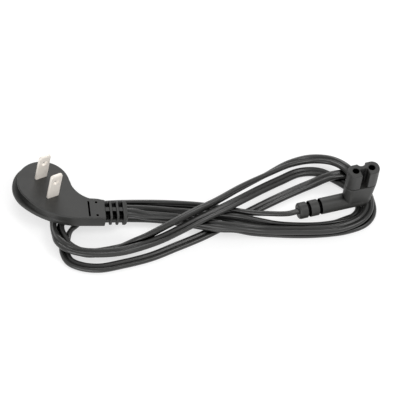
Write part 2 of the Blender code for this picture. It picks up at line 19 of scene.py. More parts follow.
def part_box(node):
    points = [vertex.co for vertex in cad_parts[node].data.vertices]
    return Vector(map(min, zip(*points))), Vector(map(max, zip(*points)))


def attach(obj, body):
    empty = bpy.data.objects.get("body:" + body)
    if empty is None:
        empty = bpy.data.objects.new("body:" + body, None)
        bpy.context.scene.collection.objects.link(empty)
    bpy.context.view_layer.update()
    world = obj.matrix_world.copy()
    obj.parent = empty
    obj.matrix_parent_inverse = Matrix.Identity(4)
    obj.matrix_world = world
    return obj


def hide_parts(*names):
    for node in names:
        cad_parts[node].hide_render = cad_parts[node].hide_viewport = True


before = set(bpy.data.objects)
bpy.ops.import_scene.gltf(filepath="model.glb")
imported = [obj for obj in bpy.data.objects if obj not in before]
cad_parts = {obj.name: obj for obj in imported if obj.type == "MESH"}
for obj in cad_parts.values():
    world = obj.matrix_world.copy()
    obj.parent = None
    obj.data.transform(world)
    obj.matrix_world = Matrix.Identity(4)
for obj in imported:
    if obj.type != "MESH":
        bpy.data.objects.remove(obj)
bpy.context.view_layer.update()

MM = 0.001
PAST = 1.0                       # how far a cutter reaches past the surface it cuts
SMOOTH_ANGLE = 38                # edges flatter than this are shaded round, in degrees

# Cord: two round cores side by side
CORE = 2.6
CORD_WIDTH = 2 * CORE
CORE_ARC = 146                   # where the groove starts on each core, from its outer side
CORE_SIDES = 16
LAYER = CORE + 0.3               # height from one lying strand to the next
CORD_LENGTH = 1210.0
GLAND_DEPTH = 2.0                # of the holes that its ends go into
GLAND_GAP = 0.15                 # round it in those holes
CORD_GAP = 0.3                   # between its ends and the bottoms of those holes

# Wall plug
HEAD_X = -80.8                   # the middle of its round head
HEAD_Y = 0.9
PLUG_Z = 6.4                     # its underside, which rests on the cord
PLUG_THICK = 7.0
HEAD_RADIUS = 13.3
NECK_AXIS_Y = -15.5
NECK_WIDTH = 11.8
NECK_START_X = -64.0
NECK_FILLET_X = -53.5
NECK_END_X = -51.1
NECK_ROUND = 0.6                 # of the corners at the neck's end
# Its side wall from the underside up: height, how far the head stands out past
# the face (the neck doesn't), and how far the whole edge draws in
PLUG_WALL = [
    (0.0, 1.8, 0.6), (0.15, 1.8, 0.22), (0.5, 1.8, 0.0), (1.8, 1.8, 0.0), (2.2, 1.65, 0.0),
    (2.45, 1.25, 0.0), (2.62, 0.3, 0.0), (2.85, -0.5, 0.0), (3.3, -1.0, 0.0), (4.5, -1.05, 0.0),
    (5.4, -0.6, 0.0), (5.9, -0.12, 0.0), (6.3, 0.0, 0.0), (6.65, 0.0, 0.06), (6.88, 0.0, 0.22),
    (7.0, 0.0, 0.5),
]

# Strain relief of the plug
RELIEF_LENGTH = 11.1
RELIEF_WIDTH = 11.0
RELIEF_RINGS = 3
RING_WIDTH = 1.25
RING_ROUND = 1.3                 # of a ring's four corners
RING_EDGE = 0.15                 # of the small rounds along its sides
RELIEF_CORE_WIDTH = 7.0
RELIEF_CORE_THICK = 3.4
RELIEF_CORE_ROUND = 1.2
RELIEF_ROOT = 1.5                # how far the core goes into the neck
WEB_WIDTH = 2.3
WEB_INSET = 0.35                 # how far the webs lie below the rings
WEB_ROOT = 1.0                   # how far they go into the neck
WEB_STOP = 1.2                   # where they end, before the relief's end
END_RING = 2.3
# The end ring's outer edge: distance from the end, how far it draws in, and the
# radius of its corners
END_RING_EDGE = [(0.9, 0.0, 1.3), (0.3, 0.45, 1.1), (0.0, 1.0, 0.9)]

# Marks in the neck's face
SLIT_X = -59.4
SLIT_LENGTH = 9.5
SLIT_WIDTH = 0.95
SLIT_DEPTH = 2.8
PIN_X = -55.5
PIN_SPREAD = 8.0
PIN_DIAMETER = 1.3
PIN_DEPTH = 2.5

# Blades
BLADE_SPACING = 12.7
BLADE_WIDTH = 6.35
BLADE_THICK = 1.5
BLADE_LENGTH = 17.4
BLADE_ROOT = 4.0
BLADE_TURN = 22.2
BLADES_X = -79.5
BLADES_Y = -1.6
BLADE_HOLE = 3.1
BLADE_HOLE_HEIGHT = 11.9
BLADE_CORNER = 0.3               # of the long edges
BLADE_EDGE = 0.12                # of the small rounds on edges sharper than
BLADE_EDGE_ANGLE = 60            # this, in degrees
BLADE_TIP = 1.6                  # radius of the tip's corners
TIP_BEVEL = 0.9                  # how far down the tip is thinned
TIP_THINNING = 0.4               # share of the thickness that it loses

# Connector
CONN_X = 78.25                   # the middle of its head's foot, which rests on the cord
CONN_Y = -4.7
CONN_Z = 6.1
CONN_TURN = 15.0
CONN_LENGTH = 16.6
CONN_DEPTH = 7.8
CONN_BODY_HEIGHT = 14.2
CONN_TAPER = 1.8
NOSE_HEIGHT = 11.6
END_FLAT = 0.6                   # flat that the corners leave at each end
NOSE_CORNER = (CONN_DEPTH - END_FLAT) / 2
NOSE_SEAM = 0.35                 # the dark joint between nose and elbow
NOSE_ROOT = 2.0                  # how far the nose goes down into the elbow
NOSE_ROOT_INSET = 1.0            # how much slimmer it is there
# Rounded edges, as how far from the end and how far the outline draws in:
# the elbow's foot and shoulder, and the nose's foot and top
ELBOW_FOOT = [(0.0, 0.9), (0.25, 0.35), (0.75, 0.06), (1.4, 0.0)]
ELBOW_SHOULDER = [(0.5, 0.0), (0.25, 0.05), (0.08, 0.16), (0.0, 0.35)]
NOSE_FOOT = [(0.0, 0.3), (0.25, 0.05), (0.5, 0.0)]
NOSE_TOP = [(0.55, 0.0), (0.25, 0.08), (0.07, 0.25), (0.0, 0.5)]
SOCKET_PITCH = 8.6
SOCKET_DIAMETER = 3.3
SOCKET_DEPTH = 9.5
SOCKET_CHAMFER = 0.25
SLOT_WIDTH = 4.0                 # the straight slot down the nose's front
SLOT_DEPTH = 4.2                 # 2.8 in the solid
SLOT_ROUND = 0.8                 # of its inner corners
NOSE_LIP = 0.2                   # of the edges of the slot and the notch
NOTCH_RADIUS = 2.2               # the round notch down its back
NOTCH_DEPTH = 1.6
ARM_DIAMETER = 8.3
ARM_REACH = 32.2
ARM_FAR = 3.0                    # its other end, under the head
ARM_RISE = 1.8                   # height of its axis above the head's foot
ARM_CORD_TURN = -52.0            # how far the cord is turned on edge in the arm
ARM_GROOVES = (4.5, 10.5)
ARM_GROOVE_WIDTH = 1.5
ARM_GROOVE_DEPTH = 1.6           # 1.4 in the solid
# Its profile, as how far along and how far in from its radius: the end inside
# the head, the lip on each side of a groove, and the open end
ARM_INNER_END = [(0.0, 1.3), (0.2, 0.6), (0.6, 0.2), (1.2, 0.0)]
ARM_LIP = [(0.2, 0.0), (0.05, 0.06), (0.0, 0.2)]
ARM_OUTER_END = [(0.9, 0.0), (0.35, 0.2), (0.1, 0.5), (0.0, 0.95)]

# Camera, in the desk frame: its place from the origin, and which way is up
CAMERA_SIDE = (-0.1667, -0.5926, 0.7878)
CAMERA_UP = (0.0, 0.799, 0.601)
CAMERA_DISTANCE = 8000.0
CAMERA_LENS = 1440.0

# Light, as radiance: 1 is white in the picture
SKY_LIGHT = 0.65
TABLE_LIGHT = 0.62               # of the table itself, which keeps shadows pale
TABLE_GREY = 0.42                # its paint, which is lit by the sky and the lamps
# Soft lamps that look at the origin: place and size in metres, power in watts
LAMPS = {
    "lamp_back": ((-0.1, 0.8, 0.65), (0.7, 0.3), 4.0),
    "lamp_front": ((-0.3, -1.0, 0.35), (0.9, 0.5), 6.0),
    "lamp_right": ((0.6, -0.15, 0.85), (0.4, 0.4), 3.0),
}

# Painted shade in crevices: how near walls stand, and the shares of open sky
# between which the plastic's painted colour goes from black to its own colour
MOULDED_SHADE_REACH = 4.0
JACKET_SHADE_REACH = 1.5
PAINTED_SHADE_SHARES = (0.54, 0.92)

# The cord's way from plug to connector, as in the solids: X, Y, the layer it
# lies on and how far it is turned up on edge, in degrees.
ROUTE = [
    # from the plug along the front, round the right end on the outside
    (-30.5, -16.5, 2.7, 0), (-21.5, -16.5, 2.3, 0), (-12.5, -17, 2, 0), (-3, -19, 1.9, 0),
    (7, -21.6, 2.2, 0), (17, -22, 1.95, 0), (28.5, -22.1, 1.3, 0), (42.5, -22.2, 1.05, 0),
    (53, -22.1, 1.05, 0), (63.5, -21.4, 1.05, 0), (71.5, -19.4, 1.05, 0), (79.2, -15.3, 1.05, 0),
    (82.9, -11, 1.05, 0), (84.4, -6.5, 1.05, 0), (84.2, -1, 1.05, 0), (81.2, 5, 1.1, 0),
    (75.5, 14, 1.95, 0),
    # back over everything on edge, to the left end under the next strand
    (68.5, 21, 1.2, 0), (58.5, 22.5, 1, 0), (47, 19, 1.3, 25), (33, 10, 2, 60),
    (19, 0.5, 2.8, 80), (5, -9.5, 3.4, 85), (-8.5, -17.5, 3.7, 85), (-20, -23.5, 3.2, 80),
    (-31.5, -28.1, 1.9, 80), (-38, -29.4, 1, 70), (-44.5, -31.3, 0.5, 52), (-54.5, -34, 0.2, 5),
    (-61, -34.5, 0.25, 0), (-67, -33.4, 0.75, 0), (-71.4, -30.4, 1.2, -8), (-72.9, -25, 1.06, -54),
    (-72.8, -19, 0.75, -66), (-70.3, -14.3, 0.9, -25), (-65.5, -11.8, 1.05, 0), (-60, -12.3, 1.05, 0),
    # out along the floor, under the first strand, and round the right end
    (-53.5, -13, 0.9, 0), (-45, -12.5, 0.3, 0), (-35.5, -12, 0, 0), (-24, -12.5, 0, 0),
    (-12, -14.5, 0, 0), (-1.5, -18.5, 0.8, 0), (7.5, -20.6, 1.05, 0), (15, -20.8, 1, 0),
    (23, -21, 0.3, 0), (32, -21.3, 0, 0), (43, -21.9, 0, 0), (53, -21.9, 0, 0), (63.4, -21.1, 0, 0),
    (72, -19.5, 0, 0), (80.7, -15.9, 0, 0), (84.6, -11.7, 0, 0), (86.1, -7, 0, 0), (85.7, -1, 0, 0),
    # back along the floor beneath everything, to the front of the left end
    (84.3, 5, 0, 0), (81, 11, 0.25, 0), (75, 13.2, 0.8, 0), (66.5, 11.5, 1.05, 0), (57.5, 9, 0.1, 0),
    (47, 4, 0, 0), (34, -3, 0, 0), (21, -10.5, 0, 0), (9, -17.5, 0, 0),
    (-2.5, -24, 0, 0), (-16, -30.5, 0, 0), (-29, -36.5, 0, 0), (-44, -41, 0, 0),
    (-55.5, -43.4, 0, 0), (-64.5, -42.3, 0, 0), (-69.9, -39.2, 0, 0), (-71.9, -33.8, 0, 0),
    (-71.3, -27.8, 0.04, -18), (-68.7, -22.3, 0.38, -75), (-65.2, -17.8, 0.3, -52),
    (-62.6, -13, 0.02, -5),
    # out again on edge behind the first strand, and round inside the others
    (-59.2, -9.3, 0, -5), (-53.5, -7.7, 0.22, -42), (-45.5, -7.5, 0.48, -85), (-36.5, -7.5, 0.48, -90),
    (-26.5, -8, 0.48, -90), (-16.5, -9, 0.48, -90), (-6.5, -10, 0.48, -90), (4, -13, 1.05, -90),
    (17, -15.5, 1.55, -90), (28, -16.8, 1, -85), (36, -17.4, 0.55, -75), (46, -17.6, 0.4, -62),
    (57.5, -17.4, 0.4, -60), (66, -16, 0.4, -55), (72.2, -13.8, 0.25, -35), (77.2, -11.6, 0.1, -15),
    (80.2, -7.6, 0, 0), (80.5, -3.2, 0, 0), (79.6, 1.5, 0, 0), (78, 5.3, 0, 0), (74, 9, 0, 0),
    (68.5, 13, 0, 0), (61.5, 16.5, 0, 0),
    # back over the top, lying flat, and round the left end on the outside
    (52, 16, 0.1, 0), (41, 9.5, 0.75, 0), (29.5, 1.5, 1.7, 0), (18.5, -6.5, 2.55, 0),
    (7.5, -13.5, 2.95, 0), (-3.5, -19.5, 2.9, 0), (-14, -25, 2.45, 0), (-24, -29.5, 1.9, 0),
    (-34.5, -33.1, 1.5, 0), (-45, -36.1, 1.45, 0), (-56, -37.2, 1.5, 0), (-65, -36.8, 1.7, 0),
    (-71.5, -34.6, 1.95, -20), (-75.3, -29.6, 1.6, -54), (-76.3, -23.5, 0.9, -82),
    (-76.2, -17, 0.55, -76), (-74.6, -11.5, 0.85, -30), (-69.2, -7.4, 1.05, 0), (-62, -5.5, 1.05, 0),
    # the last stretch, on edge, then leaning back as it goes into the connector
    (-53, -4.5, 0.9, -25), (-44.5, -4.5, 0.5, -80), (-35.5, -4.5, 0.5, -90), (-23.5, -4.5, 0.5, -90),
    (-12, -5, 0.5, -90), (-1, -6, 0.5, -90), (9.5, -8.7, 1, -80), (20, -12, 1.6, -65),
    (30.5, -14.2, 2.2, -54),
]
ROUTE_STEPS = 12                 # points of the smooth curve from one route point to the next
STRAIGHT_OUT = 5.5               # how far the cord runs straight out of its mouldings


def desk_shift():
    """From the desk frame to the model's, by the middle of the far blade."""
    low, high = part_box("blade_far")
    turn = radians(BLADE_TURN)
    middle = Vector((BLADES_X - sin(turn) * BLADE_SPACING / 2,
                     BLADES_Y + cos(turn) * BLADE_SPACING / 2,
                     PLUG_Z + PLUG_THICK + (BLADE_LENGTH - BLADE_ROOT) / 2))
    return (low + high) / 2 - middle * MM


SHIFT = desk_shift()


def desk(x, y, z):
    """A place in the desk frame, in millimetres, as a point of the model."""
    return SHIFT + Vector((x, y, z)) * MM


def at_connector(x, y, z):
    """A place counted from the foot of the connector's head, along its arm."""
    turn = radians(CONN_TURN)
    right = x * cos(turn) - y * sin(turn)
    back = x * sin(turn) + y * cos(turn)
    return desk(CONN_X + right, CONN_Y + back, CONN_Z + z)


# Camera, light and floor

def make_camera():
    """The photograph's view: two picture points to the millimetre at the desk."""
    back = Vector(CAMERA_SIDE).normalized()
    up = (Vector(CAMERA_UP) - back * back.dot(Vector(CAMERA_UP))).normalized()
    right = up.cross(back)
    data = bpy.data.cameras.new("photo_view")
    data.lens = CAMERA_LENS
    data.sensor_width = 36.0
    data.clip_start = 0.05
    camera = bpy.data.objects.new("photo_view", data)
    bpy.context.scene.collection.objects.link(camera)
    place = SHIFT + back * CAMERA_DISTANCE * MM
    camera.matrix_world = Matrix((right, up, back)).transposed().to_4x4()
    camera.location = place
    bpy.context.scene.camera = camera
    bpy.context.scene.view_settings.view_transform = "Standard"


def softbox(name, place, size, power):
    """A large rectangular lamp that looks at the origin."""
    data = bpy.data.lights.new(name, "AREA")
    data.shape = "RECTANGLE"
    data.size, data.size_y = size
    data.energy = power
    lamp = bpy.data.objects.new(name, data)
    bpy.context.scene.collection.objects.link(lamp)
    lamp.location = place
    lamp.rotation_euler = (-Vector(place)).to_track_quat("-Z", "Y").to_euler()


def make_studio():
    """A white light table under an even pale sky, with three soft lamps round it."""
    world = bpy.data.worlds.new("white_tent")
    world.use_nodes = True
    sky = world.node_tree.nodes["Background"]
    sky.inputs["Color"].default_value = (1.0, 1.0, 1.0, 1.0)
    sky.inputs["Strength"].default_value = SKY_LIGHT
    bpy.context.scene.world = world
    for name, lamp in LAMPS.items():
        softbox(name, *lamp)

    bpy.ops.mesh.primitive_plane_add(size=6.0, location=(0, 0, 0))
    table = bpy.context.object
    table.name = "white_table"
    coat = bpy.data.materials.new("white_table_paint")
    coat.use_nodes = True
    shader = coat.node_tree.nodes["Principled BSDF"]
    shader.inputs["Base Color"].default_value = (TABLE_GREY, TABLE_GREY, TABLE_GREY, 1.0)
    shader.inputs["Roughness"].default_value = 0.9
    shader.inputs["Specular IOR Level"].default_value = 0.0
    shader.inputs["Emission Color"].default_value = (1.0, 1.0, 1.0, 1.0)
    shader.inputs["Emission Strength"].default_value = TABLE_LIGHT
    table.data.materials.append(coat)


# Materials

def linear(code):
    """An sRGB hex colour as the linear values that a shader takes."""
    parts = [int(code[i:i + 2], 16) / 255 for i in (1, 3, 5)]
    return (*[p / 12.92 if p <= 0.04045 else ((p + 0.055) / 1.055) ** 2.4 for p in parts], 1.0)


def add(tree, kind, links=None, **settings):
    """A node with its inputs set by name, its properties, and its links."""
    made = tree.nodes.new(kind)
    for name, value in settings.items():
        if name in made.bl_rna.properties:
            setattr(made, name, value)
    for name, value in (links or {}).items():
        socket = made.inputs[name]
        if isinstance(value, bpy.types.NodeSocket):
            tree.links.new(value, socket)
        else:
            socket.default_value = value
    return made


def paint_crevice_shade(tree, colour, reach):
    """Painted shade in grooves, slits and gaps: where walls stand closer than the
    reach, in millimetres, the plastic's colour is painted darker towards black
    and its gloss is turned down, by an ambient-occlusion mask."""
    shader = tree.nodes["Principled BSDF"]
    near = add(tree, "ShaderNodeAmbientOcclusion", {"Distance": reach * MM}, samples=8, only_local=True)
    light = add(tree, "ShaderNodeMapRange", {"Value": near.outputs["AO"], "From Min": PAINTED_SHADE_SHARES[0],
                                             "From Max": PAINTED_SHADE_SHARES[1]}).outputs["Result"]
    # painted shade: the colour is mixed towards near-black where the walls close in
    shade = add(tree, "ShaderNodeMix", {0: light, 6: linear("#020202"), 7: colour}, data_type="RGBA")
    tree.links.new(shade.outputs[2], shader.inputs["Base Color"])
    # painted shade on the gloss: the specular level falls with the same mask
    shaded_gloss = add(tree, "ShaderNodeMath", {0: light, 1: 0.5}, operation="MULTIPLY")
    tree.links.new(shaded_gloss.outputs[0], shader.inputs["Specular IOR Level"])


def moulded_pvc(name, low, high, rough, grain):
    """Black flexible PVC from a spark-eroded mould: an even satin black with a
    fine grain that breaks its gloss, and faint cloudy patches where the plastic
    flowed. Grain is the size of one pit, in millimetres."""
    mat = bpy.data.materials.new(name)
    mat.use_nodes = True
    tree = mat.node_tree
    shader = tree.nodes["Principled BSDF"]
    place = add(tree, "ShaderNodeTexCoord").outputs["Object"]
    flow = add(tree, "ShaderNodeTexNoise", {"Vector": place, "Scale": 1 / (6 * MM), "Detail": 3.0,
                                            "Roughness": 0.55}).outputs["Fac"]
    pits = add(tree, "ShaderNodeTexNoise", {"Vector": place, "Scale": 1 / (grain * MM), "Detail": 2.0,
                                            "Roughness": 0.6}).outputs["Fac"]
    tint = add(tree, "ShaderNodeMapRange", {"Value": flow, "From Min": 0.35,
                                            "From Max": 0.65}).outputs["Result"]
    speck = add(tree, "ShaderNodeMath", {0: tint, 1: pits}, operation="MULTIPLY").outputs[0]
    colour = add(tree, "ShaderNodeMix", {0: speck, 6: linear(low), 7: linear(high)}, data_type="RGBA")
    # painted shade: colour and gloss go dark in the moulding's grooves, slits and gaps
    paint_crevice_shade(tree, colour.outputs[2], MOULDED_SHADE_REACH)
    gloss = add(tree, "ShaderNodeMapRange", {"Value": flow, "To Min": rough - 0.05,
                                             "To Max": rough + 0.07})
    tree.links.new(gloss.outputs["Result"], shader.inputs["Roughness"])
    relief = add(tree, "ShaderNodeBump", {"Height": pits, "Strength": 0.35, "Distance": 0.05 * MM})
    tree.links.new(relief.outputs["Normal"], shader.inputs["Normal"])
    shader.inputs["IOR"].default_value = 1.5
    return mat


def extruded_pvc(name, low, high, rough):
    """The cord's black PVC jacket, drawn through a die: smoother than the
    mouldings, with faint lengthwise draw lines and long clouds of gloss."""
    mat = bpy.data.materials.new(name)
    mat.use_nodes = True
    tree = mat.node_tree
    shader = tree.nodes["Principled BSDF"]
    along = add(tree, "ShaderNodeTexCoord").outputs["UV"]
    # the map runs once along the cord and once round it
    stretch = add(tree, "ShaderNodeMapping", {"Vector": along, "Scale": (CORD_LENGTH / 25, 9.0, 1.0)})
    clouds = add(tree, "ShaderNodeTexNoise", {"Vector": stretch.outputs["Vector"], "Scale": 1.0,
                                              "Detail": 3.0})
    lines = add(tree, "ShaderNodeMapping", {"Vector": along, "Scale": (CORD_LENGTH / 60, 70.0, 1.0)})
    drawn = add(tree, "ShaderNodeTexNoise", {"Vector": lines.outputs["Vector"], "Scale": 1.0,
                                             "Detail": 2.0})
    colour = add(tree, "ShaderNodeMix", {0: clouds.outputs["Fac"], 6: linear(low), 7: linear(high)},
                 data_type="RGBA")
    # painted shade: colour and gloss go dark in the groove between the cores and where strands meet
    paint_crevice_shade(tree, colour.outputs[2], JACKET_SHADE_REACH)
    gloss = add(tree, "ShaderNodeMapRange", {"Value": clouds.outputs["Fac"], "To Min": rough - 0.06,
                                             "To Max": rough + 0.08})
    tree.links.new(gloss.outputs["Result"], shader.inputs["Roughness"])
    relief = add(tree, "ShaderNodeBump", {"Height": drawn.outputs["Fac"], "Strength": 0.1,
                                          "Distance": 0.05 * MM})
    tree.links.new(relief.outputs["Normal"], shader.inputs["Normal"])
    shader.inputs["IOR"].default_value = 1.5
    return mat


def plated_brass(name):
    """Blades stamped from brass strip and nickel plated: a warm pale metal with
    fine upright rolling lines that spread its highlights."""
    mat = bpy.data.materials.new(name)
    mat.use_nodes = True
    tree = mat.node_tree
    shader = tree.nodes["Principled BSDF"]
    place = add(tree, "ShaderNodeTexCoord").outputs["Object"]
    # lines 0.25 mm apart that run up the blade for about 7 mm
    rolled = add(tree, "ShaderNodeMapping", {"Vector": place, "Scale": (4000.0, 4000.0, 150.0)})
    lines = add(tree, "ShaderNodeTexNoise", {"Vector": rolled.outputs["Vector"], "Scale": 1.0,
                                             "Detail": 3.0})
    clouds = add(tree, "ShaderNodeTexNoise", {"Vector": place, "Scale": 1 / (3 * MM), "Detail": 2.0})
    colour = add(tree, "ShaderNodeMix", {0: clouds.outputs["Fac"], 6: linear("#e6dfd6"),
                                         7: linear("#f0eae2")}, data_type="RGBA")
    tree.links.new(colour.outputs[2], shader.inputs["Base Color"])
    gloss = add(tree, "ShaderNodeMapRange", {"Value": lines.outputs["Fac"], "To Min": 0.42,
                                             "To Max": 0.55})
    tree.links.new(gloss.outputs["Result"], shader.inputs["Roughness"])
    relief = add(tree, "ShaderNodeBump", {"Height": lines.outputs["Fac"], "Strength": 0.12,
                                          "Distance": 0.03 * MM})
    tree.links.new(relief.outputs["Normal"], shader.inputs["Normal"])
    shader.inputs["Metallic"].default_value = 0.4
    return mat


# Outlines and solids

def arc(centre, radius, start, end, count):
    """Points along an arc, angles in degrees, both ends included."""
    angles = [radians(start + (end - start) * i / count) for i in range(count + 1)]
    return [(centre[0] + radius * cos(a), centre[1] + radius * sin(a)) for a in angles]


def rounded_rectangle(half_x, half_y, radius, count=5):
    """Outline of a rectangle with round corners, about the origin."""
    radius = min(radius, half_x - 0.01, half_y - 0.01)
    out = []
    for side, (sx, sy) in enumerate(((1, 1), (-1, 1), (-1, -1), (1, -1))):
        centre = (sx * (half_x - radius), sy * (half_y - radius))
        out += arc(centre, radius, 90 * side, 90 * side + 90, count)
    return out


def loft(name, rings):
    """A closed solid through a stack of rings with as many points each.

    It starts as a filled circle laid on the first ring, and its end face is
    extruded to each further ring.
    """
    bpy.ops.object.select_all(action="DESELECT")
    bpy.ops.mesh.primitive_circle_add(vertices=len(rings[0]), fill_type="NGON")
    piece = bpy.context.object
    piece.name = name
    for vert, place in zip(piece.data.vertices, rings[0]):
        vert.co = place
    for before, ring in zip(rings, rings[1:]):
        bpy.ops.object.mode_set(mode="EDIT")
        bpy.ops.mesh.extrude_region_move()
        bpy.ops.object.mode_set(mode="OBJECT")
        for vert in piece.data.vertices:
            if vert.select:
                nearest = min(range(len(ring)), key=lambda i: (before[i] - vert.co).length_squared)
                vert.co = ring[nearest]
    bpy.ops.object.mode_set(mode="EDIT")
    bpy.ops.mesh.select_all(action="SELECT")
    bpy.ops.mesh.normals_make_consistent(inside=False)
    bpy.ops.object.mode_set(mode="OBJECT")
    piece.location = (0, 0, 0)
    return piece


def combine(piece, tool, operation):
    """Join a solid to a piece or cut it out, and remove the solid."""
    bpy.ops.object.select_all(action="DESELECT")
    bpy.context.view_layer.objects.active = piece
    piece.select_set(True)
    step = piece.modifiers.new("combine", "BOOLEAN")
    step.object = tool
    step.operation = operation
    step.solver = "EXACT"
    bpy.ops.object.modifier_apply(modifier=step.name)
    bpy.data.objects.remove(tool, do_unlink=True)


def soften(piece, width, angle):
    """Small rounds on the edges that meet more sharply than the angle."""
    bpy.ops.object.select_all(action="DESELECT")
    bpy.context.view_layer.objects.active = piece
    piece.select_set(True)
    step = piece.modifiers.new("rounds", "BEVEL")
    step.width = width * MM
    step.segments = 2
    step.limit_method = "ANGLE"
    step.angle_limit = radians(angle)
    bpy.ops.object.modifier_apply(modifier=step.name)


def finish_piece(piece, mat, slot, *nodes):
    """Smooth shading, its material, its body and the solid that it stands for."""
    bpy.ops.object.select_all(action="DESELECT")
    bpy.context.view_layer.objects.active = piece
    piece.select_set(True)
    bpy.ops.object.shade_smooth_by_angle(angle=radians(SMOOTH_ANGLE))
    even = piece.modifiers.new("even_faces", "WEIGHTED_NORMAL")
    even.keep_sharp = True
    bpy.ops.object.modifier_apply(modifier=even.name)
    piece.data.materials.clear()
    piece.data.materials.append(mat)
    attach(piece, "root")
    if nodes:
        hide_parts(*nodes)
    return piece


# Plug

def plug_ring(height, grow, inset):
    """The plug's comma outline at a height, from its underside.

    The near edge leaves the head on a wide arc that ends straight at
    NECK_START_X, and the far edge on a hollow arc that ends at NECK_FILLET_X.
    """
    radius = HEAD_RADIUS + grow - inset
    near = NECK_AXIS_Y - NECK_WIDTH / 2 + inset
    far = NECK_AXIS_Y + NECK_WIDTH / 2 - inset
    end = NECK_END_X - inset
    run = NECK_START_X - HEAD_X
    rise = near - HEAD_Y
    wide = (run ** 2 + rise ** 2 - radius ** 2) / (2 * (-rise - radius))
    wide_centre = (NECK_START_X, near + wide)
    touch = degrees(atan2(HEAD_Y - wide_centre[1], HEAD_X - wide_centre[0]))
    run = NECK_FILLET_X - HEAD_X
    rise = far - HEAD_Y
    hollow = (run ** 2 + rise ** 2 - radius ** 2) / (2 * (radius - rise))
    hollow_centre = (NECK_FILLET_X, far + hollow)
    meet = degrees(atan2(hollow_centre[1] - HEAD_Y, hollow_centre[0] - HEAD_X))
    outline = arc(hollow_centre, hollow, 270, 180 + meet, 14)
    outline += arc((HEAD_X, HEAD_Y), radius, meet, 360 + touch, 56)[1:]
    outline += arc(wide_centre, wide, 360 + touch, 270, 18)[1:]
    edge = 0.3 * NECK_ROUND
    outline += [(end - NECK_ROUND, near), (end - edge, near + edge), (end, near + NECK_ROUND)]
    outline += [(end, far - NECK_ROUND), (end - edge, far - edge), (end - NECK_ROUND, far)]
    return [desk(x, y, PLUG_Z + height) for x, y in outline]


def relief_ring(x, half_y, half_z, radius):
    """A cross-section of the strain relief, which runs along X."""
    middle = PLUG_Z + PLUG_THICK / 2
    return [desk(x, NECK_AXIS_Y + y, middle + z) for y, z in rounded_rectangle(half_y, half_z, radius)]


def relief_stations():
    """Sections of the strain relief from the neck to its end: rings with
    rounded edges that stand out of a thinner core."""
    core = (RELIEF_CORE_WIDTH / 2, RELIEF_CORE_THICK / 2, RELIEF_CORE_ROUND)
    full = (RELIEF_WIDTH / 2, PLUG_THICK / 2, RING_ROUND)
    less = (full[0] - RING_EDGE, full[1] - RING_EDGE, RELIEF_CORE_ROUND)
    end = NECK_END_X + RELIEF_LENGTH
    pitch = (RELIEF_LENGTH - END_RING + RING_WIDTH) / RELIEF_RINGS
    out = [(NECK_END_X - RELIEF_ROOT, *core)]
    for i in range(1, RELIEF_RINGS):
        x1 = NECK_END_X + i * pitch
        x0 = x1 - RING_WIDTH
        out += [(x0, *core), (x0, *less), (x0 + RING_EDGE, *full)]
        out += [(x1 - RING_EDGE, *full), (x1, *less), (x1, *core)]
    x0 = end - END_RING
    out += [(x0, *core), (x0, *less), (x0 + RING_EDGE, *full)]
    for back, inset, radius in END_RING_EDGE:
        out.append((end - back, full[0] - inset, full[1] - inset, radius))
    return out


def box_between(name, low, high):
    """A plain block between two corners of the desk frame, used to join or cut."""
    ring = [(low[0], low[1]), (high[0], low[1]), (high[0], high[1]), (low[0], high[1])]
    return loft(name, [[desk(x, y, z) for x, y in ring] for z in (low[2], high[2])])


def round_bar(name, centre, radius, low, high, sides=24):
    """An upright round bar of the desk frame, used to cut."""
    ring = arc(centre, radius, 0, 360 - 360 / sides, sides - 1)
    return loft(name, [[desk(x, y, z) for x, y in ring] for z in (low, high)])


def gland_outline():
    """The hole that an end of the cord goes into, a little wider than the cord."""
    return rounded_rectangle(CORD_WIDTH / 2 + GLAND_GAP, CORE / 2 + GLAND_GAP, CORE / 2)


def make_plug(mat):
    """The plug's moulding with its rim, neck, strain relief and face marks."""
    plug = loft("plug_moulding", [plug_ring(*level) for level in PLUG_WALL])
    combine(plug, loft("relief", [relief_ring(*station) for station in relief_stations()]), "UNION")
    middle = PLUG_Z + PLUG_THICK / 2
    end = NECK_END_X + RELIEF_LENGTH
    upright = (WEB_WIDTH / 2, PLUG_THICK / 2 - WEB_INSET)
    level = (RELIEF_WIDTH / 2 - WEB_INSET, WEB_WIDTH / 2)
    for half_y, half_z in (upright, level):
        combine(plug, box_between("web", (NECK_END_X - WEB_ROOT, NECK_AXIS_Y - half_y, middle - half_z),
                                  (end - WEB_STOP, NECK_AXIS_Y + half_y, middle + half_z)), "UNION")
    face = PLUG_Z + PLUG_THICK
    low = (SLIT_X - SLIT_WIDTH / 2, NECK_AXIS_Y - SLIT_LENGTH / 2, face - SLIT_DEPTH)
    high = (SLIT_X + SLIT_WIDTH / 2, NECK_AXIS_Y + SLIT_LENGTH / 2, face + PAST)
    combine(plug, box_between("slit", low, high), "DIFFERENCE")
    for side in (-1, 1):
        hole = (PIN_X, NECK_AXIS_Y + side * PIN_SPREAD / 2)
        bar = round_bar("pin_hole", hole, PIN_DIAMETER / 2, face - PIN_DEPTH, face + PAST)
        combine(plug, bar, "DIFFERENCE")
    gland = [[desk(x, NECK_AXIS_Y + y, middle + z) for y, z in gland_outline()]
             for x in (end - GLAND_DEPTH, end + PAST)]
    combine(plug, loft("gland", gland), "DIFFERENCE")
    return finish_piece(plug, mat, "moulding", "plug_body")


def tip_levels(count=6):
    """Towards the tip of a blade: distance from it, and the shares of width and
    thickness, for round corners and a thinned edge."""
    out = []
    for i in range(count + 1):
        turn = radians(90 * i / count)
        back = BLADE_TIP * (1 - sin(turn))
        wide = 1 - 2 * BLADE_TIP * (1 - cos(turn)) / BLADE_WIDTH
        thick = 1 - TIP_THINNING * max(0.0, 1 - back / TIP_BEVEL)
        out.append((back, wide, thick))
    return out


